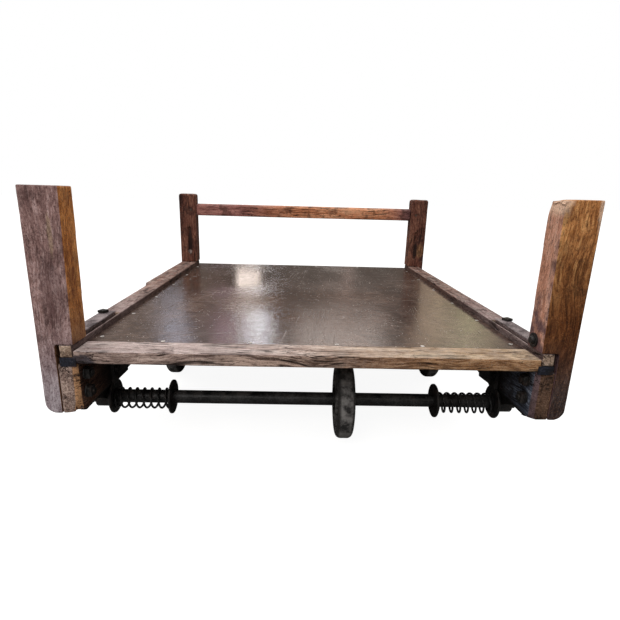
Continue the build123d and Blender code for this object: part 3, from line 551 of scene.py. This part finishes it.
def iron(name, tones, rust=0.3, dust=0.25, roughness=0.5, metallic=0.35, pits=0.0012):
    """Old iron or steel: skinned with oil and rust, pitted, with pale dust where it faces up."""
    s = Shader(name)
    patch = s.noise(s.place, 26.0, detail=7.0, roughness=0.65)
    pit = s.noise(s.place, 260.0, detail=5.0, roughness=0.7)
    colour = s.tones(s.add((0.5, patch), (0.5, pit)), tones)
    rusty = s.times(s.step(s.noise(s.place, 47.0, detail=8.0, roughness=0.72), 0.52, 0.66), rust)
    colour = s.mix(rusty, colour, (0.075, 0.032, 0.017))
    grit = s.times(s.step(s.noise(s.place, 480.0, detail=3.0), 0.62, 0.72), 0.4)
    colour = s.mix(grit, colour, (0.16, 0.145, 0.135))
    lying = s.times(s.faces("Z", 1.0), s.step(patch, 0.40, 0.62), dust)
    colour = s.mix(lying, colour, (0.26, 0.235, 0.22))
    rough = s.add((0.35, pit), (0.25, patch), (roughness - 0.3, 1.0), (0.3, rusty))
    height = s.add((0.7, pit), (0.5, patch), (0.4, grit))
    return s.finish(colour, rough, height, pits, Specular_IOR_Level=0.4, Metallic=metallic)


def worn_tread():
    """Wheel iron with a dusty, chalky tread and cleaner black sides."""
    s = Shader("wheel_iron")
    patch = s.noise(s.place, 34.0, detail=7.0, roughness=0.65)
    pit = s.noise(s.place, 300.0, detail=5.0, roughness=0.7)
    colour = s.tones(s.add((0.5, patch), (0.5, pit)),
                     ((0.012, 0.011, 0.011), (0.028, 0.026, 0.026), (0.055, 0.052, 0.050)))
    sideways = s.math("ABSOLUTE", s.along(s.facing, "X"))
    tread = s.times(s.step(sideways, 0.75, 0.2), s.step(patch, 0.36, 0.60))
    colour = s.mix(s.times(tread, 0.75), colour, (0.29, 0.28, 0.275))
    chips = s.step(s.noise(s.place, 420.0, detail=3.0), 0.62, 0.70)
    colour = s.mix(s.times(chips, 0.5), colour, (0.22, 0.21, 0.20))
    rough = s.add((0.4, pit), (0.3, patch), (0.25, 1.0))
    height = s.add((0.7, pit), (0.6, patch), (0.5, chips))
    return s.finish(colour, rough, height, 0.0014, Specular_IOR_Level=0.35)


def floor_paint():
    """A floor that reads as white to the camera but throws little light back under the truck."""
    s = Shader("floor_paint")
    mottle = s.noise(s.place, 6.0, detail=4.0)
    colour = s.tones(mottle, ((0.24, 0.24, 0.24), (0.26, 0.26, 0.26)))
    ray = s.tree.nodes.new("ShaderNodeLightPath")
    glow = s.times(ray.outputs["Is Camera Ray"], 0.93)
    return s.finish(colour, 0.9, mottle, 0.0001, glow, Specular_IOR_Level=0.0,
                    Emission_Color=(1.0, 1.0, 1.0, 1.0))


# --- Shapes ------------------------------------------------------------------------------------

def positions(mesh):
    """The mesh's vertices as an array."""
    flat = np.empty(len(mesh.vertices) * 3, np.float32)
    mesh.vertices.foreach_get("co", flat)
    return flat.reshape(-1, 3).astype(float)


def directions(mesh):
    """The outward normal at each vertex of the mesh."""
    flat = np.empty(len(mesh.vertices) * 3, np.float32)
    mesh.vertices.foreach_get("normal", flat)
    return flat.reshape(-1, 3).astype(float)


def value_noise(points, seed):
    """Smooth random values from 0 to 1 at the points, which change over about one unit.

    Each corner of the unit cell round a point gets a value from an integer hash of its coordinates.
    """
    hash_factors = np.array((374761393, 668265263, 1274126177))
    seed_factor = 974634777
    scramble_factor = 1103515245
    cell = np.floor(points).astype(np.int64)
    part = points - cell
    part = part * part * (3.0 - 2.0 * part)
    total = np.zeros(len(points))
    for corner in product((0, 1), repeat=3):
        mixed = (cell + corner) @ hash_factors + seed * seed_factor
        mixed = (mixed ^ (mixed >> 13)) * scramble_factor & 0xFFFFFFFF
        value = ((mixed ^ (mixed >> 16)) & 0xFFFF) / 0xFFFF
        total += value * np.prod(np.where(corner, part, 1.0 - part), axis=1)
    return total


def applied(piece):
    """The piece's mesh with its modifiers carried out."""
    bpy.context.view_layer.update()
    depsgraph = bpy.context.evaluated_depsgraph_get()
    return bpy.data.meshes.new_from_object(piece.evaluated_get(depsgraph))


def add_piece(name, mesh, material, body, slot, *nodes):
    """Show a mesh as a piece that rides on a body and stands for CAD nodes."""
    piece = bpy.data.objects.new(name, mesh)
    bpy.context.collection.objects.link(piece)
    mesh.materials.clear()
    mesh.materials.append(material)
    mesh.shade_smooth()
    if body:
        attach(piece, body)
    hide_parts(*nodes)
    return piece


def worn_timber(node, grain, material, voxel=0.003, rub_turns=12, hollow=0.0011, dents=(), seed=1):
    """A timber with rubbed arrises, shallow hollows and dents, in place of its crisp CAD solid.

    A dent is (centre, radius, depth). The wear only ever takes wood away.
    """
    rough_cut = bpy.data.objects.new("rough_cut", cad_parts[node].data.copy())
    bpy.context.collection.objects.link(rough_cut)
    even = rough_cut.modifiers.new("even_faces", "REMESH")
    even.mode = "VOXEL"
    even.voxel_size = voxel
    mesh = applied(rough_cut)
    rub = rough_cut.modifiers.new("rub", "SMOOTH")
    rub.factor = 0.5
    rub.iterations = rub_turns
    crisp = positions(mesh)
    rubbed = positions(applied(rough_cut))
    bpy.data.objects.remove(rough_cut)

    # How far rubbing moved each point inwards tells the arrises (above 0) from the inner corners.
    outward = directions(mesh)
    inset = np.einsum("ij,ij->i", crisp - rubbed, outward)
    arris = np.clip(inset / voxel, -1.0, 1.0)
    wide_patch, narrow_patch = 0.045, 0.016
    patchy = value_noise(crisp / wide_patch, seed) * 0.6 + value_noise(crisp / narrow_patch, seed + 1) * 0.4
    share = np.clip(0.15 + 1.1 * patchy, 0.0, 1.0) * (inset > 0)
    worn = crisp + (rubbed - crisp) * share[:, None]

    stretch = np.ones(3)
    stretch[axis_names.index(grain)] = 0.12
    wide_hollow, narrow_hollow = 0.022, 0.006
    sink = hollow * value_noise(worn * stretch / wide_hollow, seed + 2)
    sink += 0.35 * hollow * value_noise(worn * stretch / narrow_hollow, seed + 3)
    nick_size, nick_depth, nick_threshold = 0.012, 0.010, 0.72
    nicks = np.clip(value_noise(worn / nick_size, seed + 4) - nick_threshold, 0.0, 1.0)
    nicks = nicks * np.clip(arris, 0.0, 1.0)
    sink += nick_depth * nicks
    for centre, radius, depth in dents:
        reach = np.linalg.norm(worn - np.array(centre), axis=1) / radius
        sink += depth * np.exp(-reach * reach)
    worn -= outward * sink[:, None]
    mesh.vertices.foreach_set("co", worn.astype(np.float32).ravel())
    mesh.attributes.new("arris", "FLOAT", "POINT").data.foreach_set("value", arris.astype(np.float32))
    mesh.update()
    add_piece(f"worn_{node}", mesh, material, "frame", "timber", node)


def tube(path, radius, ring_count=10):
    """A closed round tube along a list of points, none of which heads along the steady direction."""
    steady = (0.0, 0.36, 0.93)
    centre = np.array(path)
    ahead = np.gradient(centre, axis=0)
    ahead /= np.linalg.norm(ahead, axis=1)[:, None]
    across = np.cross(ahead, steady)
    across /= np.linalg.norm(across, axis=1)[:, None]
    up = np.cross(across, ahead)
    vertices = []
    for turn in range(ring_count):
        angle = tau * turn / ring_count
        vertices.append(centre + radius * (np.cos(angle) * across + np.sin(angle) * up))
    vertices = np.stack(vertices, axis=1).reshape(-1, 3)
    faces = []
    for row in range(len(centre) - 1):
        for turn in range(ring_count):
            after = (turn + 1) % ring_count
            low, high = row * ring_count, (row + 1) * ring_count
            faces.append((low + turn, low + after, high + after, high + turn))
    faces.append(tuple(range(ring_count))[::-1])
    faces.append(tuple(range(len(vertices) - ring_count, len(vertices))))
    mesh = bpy.data.meshes.new("tube")
    mesh.from_pydata(vertices.tolist(), [], faces)
    mesh.update()
    return mesh


def buffer_spring(end, side, material):
    """Coil spring with closed end turns."""
    node = f"{end}_{side}_spring"
    low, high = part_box(node)
    wire = 0.0026
    coil_radius = (high[2] - low[2]) / 2 - wire
    centre = (low + high) / 2
    start, finish = low[0] + wire, high[0] - wire
    turns, closed_turns, steps_per_turn = 8.0, 0.55, 28
    turn = np.linspace(0.0, turns, int(turns * steps_per_turn) + 1)
    closed_length = 0.7 * wire
    open_length = finish - start - 2 * closed_length
    # The wire advances by the closed length over each closed end, and evenly between them.
    travel = closed_length * (np.clip(turn / closed_turns, 0.0, 1.0)
                              + np.clip((turn - turns + closed_turns) / closed_turns, 0.0, 1.0))
    travel += open_length * np.clip((turn - closed_turns) / (turns - 2 * closed_turns), 0.0, 1.0)
    path = np.stack((start + travel, centre[1] - coil_radius * np.sin(tau * turn),
                     centre[2] + coil_radius * np.cos(tau * turn)), axis=1)
    piece = add_piece(f"coiled_{node}", tube(path, wire), material, None, "spring_steel", node)
    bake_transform(piece)


def dished_sheet(material):
    """The deck sheet with the gentle waves of old sheet steel, and its turned-down rear lip."""
    low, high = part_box("deck_sheet")
    thickness = 0.002
    wave_depth = 0.0009
    wide_wave, narrow_wave = 0.21, 0.09
    crease_angle = 0.7
    columns, rows = 72, 90
    x = np.linspace(low[0], high[0], columns + 1)
    y = np.linspace(low[1], high[1], rows + 1)
    grid = np.array([(px, py, 0.0) for py in y for px in x])
    wave = 0.55 * value_noise(grid / wide_wave, 11) + 0.30 * value_noise(grid / narrow_wave, 12)
    top = grid.copy()
    top[:, 2] = high[2] - wave_depth * wave
    under = top - (0.0, 0.0, thickness)
    vertices = np.concatenate((top, under))
    count = len(top)
    width = columns + 1
    faces = []
    for row in range(rows):
        for column in range(columns):
            first = row * width + column
            quad = (first, first + 1, first + width + 1, first + width)
            faces.append(quad)
            faces.append(tuple(count + corner for corner in reversed(quad)))
    # The rim closes the gap between the top and the underside all the way round.
    front_rim = list(range(columns))
    right_rim = [row * width + columns for row in range(rows)]
    rear_rim = [rows * width + column for column in range(columns, 0, -1)]
    left_rim = [row * width for row in range(rows, 0, -1)]
    rim = front_rim + right_rim + rear_rim + left_rim
    for here, there in zip(rim, rim[1:] + rim[:1]):
        faces.append((here, count + here, count + there, there))

    # The lip is a plain box under the rear edge.
    start = len(vertices)
    lip = [(px, py, pz) for px in (low[0], high[0]) for py in (high[1] - thickness, high[1])
           for pz in (low[2], high[2] - thickness)]
    faces += [tuple(start + corner for corner in face) for face in
              ((0, 1, 3, 2), (4, 6, 7, 5), (0, 4, 5, 1), (2, 3, 7, 6), (0, 2, 6, 4), (1, 5, 7, 3))]
    mesh = bpy.data.meshes.new("dished_sheet")
    mesh.from_pydata(vertices.tolist() + lip, [], faces)
    mesh.update()
    piece = add_piece("dished_deck_sheet", mesh, material, "frame", "deck_steel", "deck_sheet")
    split = piece.modifiers.new("crisp_rim", "EDGE_SPLIT")
    split.split_angle = crease_angle


def paint(material, *nodes):
    """Give CAD nodes a material."""
    for node in nodes:
        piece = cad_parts[node]
        if not piece.material_slots:
            piece.data.materials.append(None)
        for slot in piece.material_slots:
            slot.link = "OBJECT"
            slot.material = material


# --- The truck ---------------------------------------------------------------------------------

def dress_posts():
    left = wood("left_post_wood", "Z", ((0.20, 0.111, 0.103), (0.36, 0.218, 0.202), (0.59, 0.41, 0.395)),
                left_post_marks, grime=(0.06, 0.030, 0.030), grime_share=0.45, cracks=0.25, streak=0.2)
    left_dents = [(inside("front_left_post", 0.15, 0.0, 0.60), 0.007, 0.003),
                  (inside("front_left_post", 0.22, 0.0, 0.57), 0.006, 0.003),
                  (inside("front_left_post", 0.35, 0.0, 0.86), 0.012, 0.002)]
    light_wear = {"voxel": 0.002, "rub_turns": 5, "hollow": 0.0004}
    worn_timber("front_left_post", "Z", left, dents=left_dents, seed=5, **light_wear)
    right = wood("right_post_wood", "Z", ((0.30, 0.110, 0.032), (0.64, 0.275, 0.095), (0.93, 0.50, 0.20)),
                 right_post_marks, grime=(0.05, 0.022, 0.014), grime_share=0.4,
                 worn=(0.58, 0.28, 0.12), cracks=0.4, streak=0.14)
    right_dents = [(inside("front_right_post", 0.0, 0.15, 1.0), 0.017, 0.009),
                   (inside("front_right_post", 0.0, 0.7, 1.0), 0.017, 0.008)]
    worn_timber("front_right_post", "Z", right, dents=right_dents, seed=9, **light_wear)
    rear = wood("rear_post_wood", "Z", ((0.055, 0.019, 0.013), (0.17, 0.062, 0.042), (0.32, 0.15, 0.095)),
                rear_post_marks, grime=(0.02, 0.012, 0.012), worn=(0.30, 0.21, 0.19))
    for number, side in enumerate(sides):
        worn_timber(f"rear_{side}_post", "Z", rear, seed=13 + number)


def dress_rails():
    front = wood("front_rail_wood", "X", ((0.12, 0.080, 0.07), (0.42, 0.30, 0.26), (0.68, 0.53, 0.47)),
                 front_rail_marks, grime=(0.045, 0.028, 0.022), grime_share=0.28, worn=(0.60, 0.50, 0.44))
    knot = (inside("front_rail", 0.16, 0.0, 0.55), 0.006, 0.002)
    worn_timber("front_rail", "X", front, voxel=0.002, rub_turns=5, hollow=0.0008, dents=[knot], seed=21)
    top = wood("top_rail_wood", "X", ((0.16, 0.056, 0.045), (0.40, 0.165, 0.145), (0.60, 0.29, 0.24)),
               top_rail_marks, grime=(0.03, 0.014, 0.012), roughness=0.45, worn=(0.48, 0.27, 0.2))
    worn_timber("rear_top_rail", "X", top, seed=25)
    cap = wood("cap_rail_wood", "Y", ((0.07, 0.032, 0.024), (0.215, 0.105, 0.080), (0.38, 0.225, 0.175)),
               cap_rail_marks, grime=(0.04, 0.026, 0.022), worn=(0.47, 0.35, 0.30), dust_share=0.35)
    sill = wood("sill_wood", "Y", ((0.05, 0.03, 0.022), (0.11, 0.07, 0.055), (0.2, 0.14, 0.11)),
                sill_marks, grime=(0.02, 0.014, 0.012))
    for number, side in enumerate(sides):
        worn_timber(f"{side}_cap_rail", "Y", cap, voxel=0.0025, rub_turns=8, hollow=0.0008,
                    seed=31 + number)
        dents = [(inside("left_sill", 1.0, 0.0, 0.0), 0.015, 0.012)] if side == "left" else []
        worn_timber(f"{side}_sill", "Y", sill, dents=dents, seed=35 + number)


def dress_hidden_timber():
    """Planks, bearers and the rear rail, seen only from below and behind."""
    plank_count, bearer_count = 5, 4
    planks = wood("plank_wood", "Y", ((0.05, 0.033, 0.026), (0.12, 0.085, 0.065), (0.20, 0.15, 0.12)))
    bearers = wood("bearer_wood", "X", ((0.05, 0.032, 0.024), (0.13, 0.088, 0.066), (0.22, 0.16, 0.125)))
    for number in range(1, plank_count + 1):
        worn_timber(f"deck_plank_{number}", "Y", planks, voxel=0.006, rub_turns=4, seed=40 + number)
    for number in range(1, bearer_count + 1):
        worn_timber(f"cross_bearer_{number}", "X", bearers, voxel=0.005, rub_turns=6, seed=50 + number)
    worn_timber("rear_rail", "X", bearers, voxel=0.004, seed=56)
    paint(bearers, "top_rail_pegs")


def dress_metal():
    dished_sheet(deck_steel())
    black = iron("black_iron", ((0.006, 0.006, 0.006), (0.016, 0.015, 0.015), (0.035, 0.032, 0.030)))
    bar = iron("bar_steel", ((0.012, 0.012, 0.013), (0.028, 0.028, 0.029), (0.055, 0.055, 0.057)),
               rust=0.15, roughness=0.42, metallic=0.5, pits=0.0006)
    strap = iron("strap_iron", ((0.05, 0.037, 0.040), (0.16, 0.125, 0.135), (0.34, 0.28, 0.29)),
                 rust=0.25, roughness=0.55, metallic=0.3)
    fastener = iron("fastener_steel", ((0.005, 0.005, 0.005), (0.013, 0.012, 0.012), (0.04, 0.037, 0.035)),
                    dust=0.08)
    corner = iron("corner_iron", ((0.004, 0.005, 0.008), (0.011, 0.013, 0.023), (0.030, 0.034, 0.055)),
                  dust=0.05)
    screw = iron("screw_steel", ((0.25, 0.24, 0.22), (0.60, 0.57, 0.54), (0.90, 0.87, 0.83)), rust=0.1)
    wheel = worn_tread()
    paint(strap, "left_cap_strap", "right_cap_strap")
    paint(fastener, "frame_bolts", "lag_screws", "strap_bolts", "axle_cotters")
    paint(screw, "deck_screws")
    paint(corner, "front_corner_irons")
    paint(black, "middle_collars")
    for end in ends:
        paint(black, f"{end}_knees", f"{end}_outer_washers", f"{end}_wheel_bush")
        paint(bar, f"{end}_axle")
        paint(wheel, f"{end}_wheel")
        for side in sides:
            paint(black, f"{end}_{side}_washer", f"{end}_{side}_hanger")
            buffer_spring(end, side, bar)
    paint(bar, "middle_axle")
    for side in sides:
        paint(black, f"middle_{side}_hanger", f"{side}_wheel_bush")
        paint(wheel, f"{side}_wheel")


def lay_floor():
    half = 30.0
    corners = [(-half, -half, 0), (half, -half, 0), (half, half, 0), (-half, half, 0)]
    mesh = bpy.data.meshes.new("floor")
    mesh.from_pydata(corners, [], [(0, 1, 2, 3)])
    floor = bpy.data.objects.new("floor", mesh)
    bpy.context.collection.objects.link(floor)
    mesh.materials.append(floor_paint())


place_camera()
light_world()
place_lights()
lay_floor()
bpy.context.scene.view_settings.view_transform = "Standard"
dress_posts()
dress_rails()
dress_hidden_timber()
dress_metal()
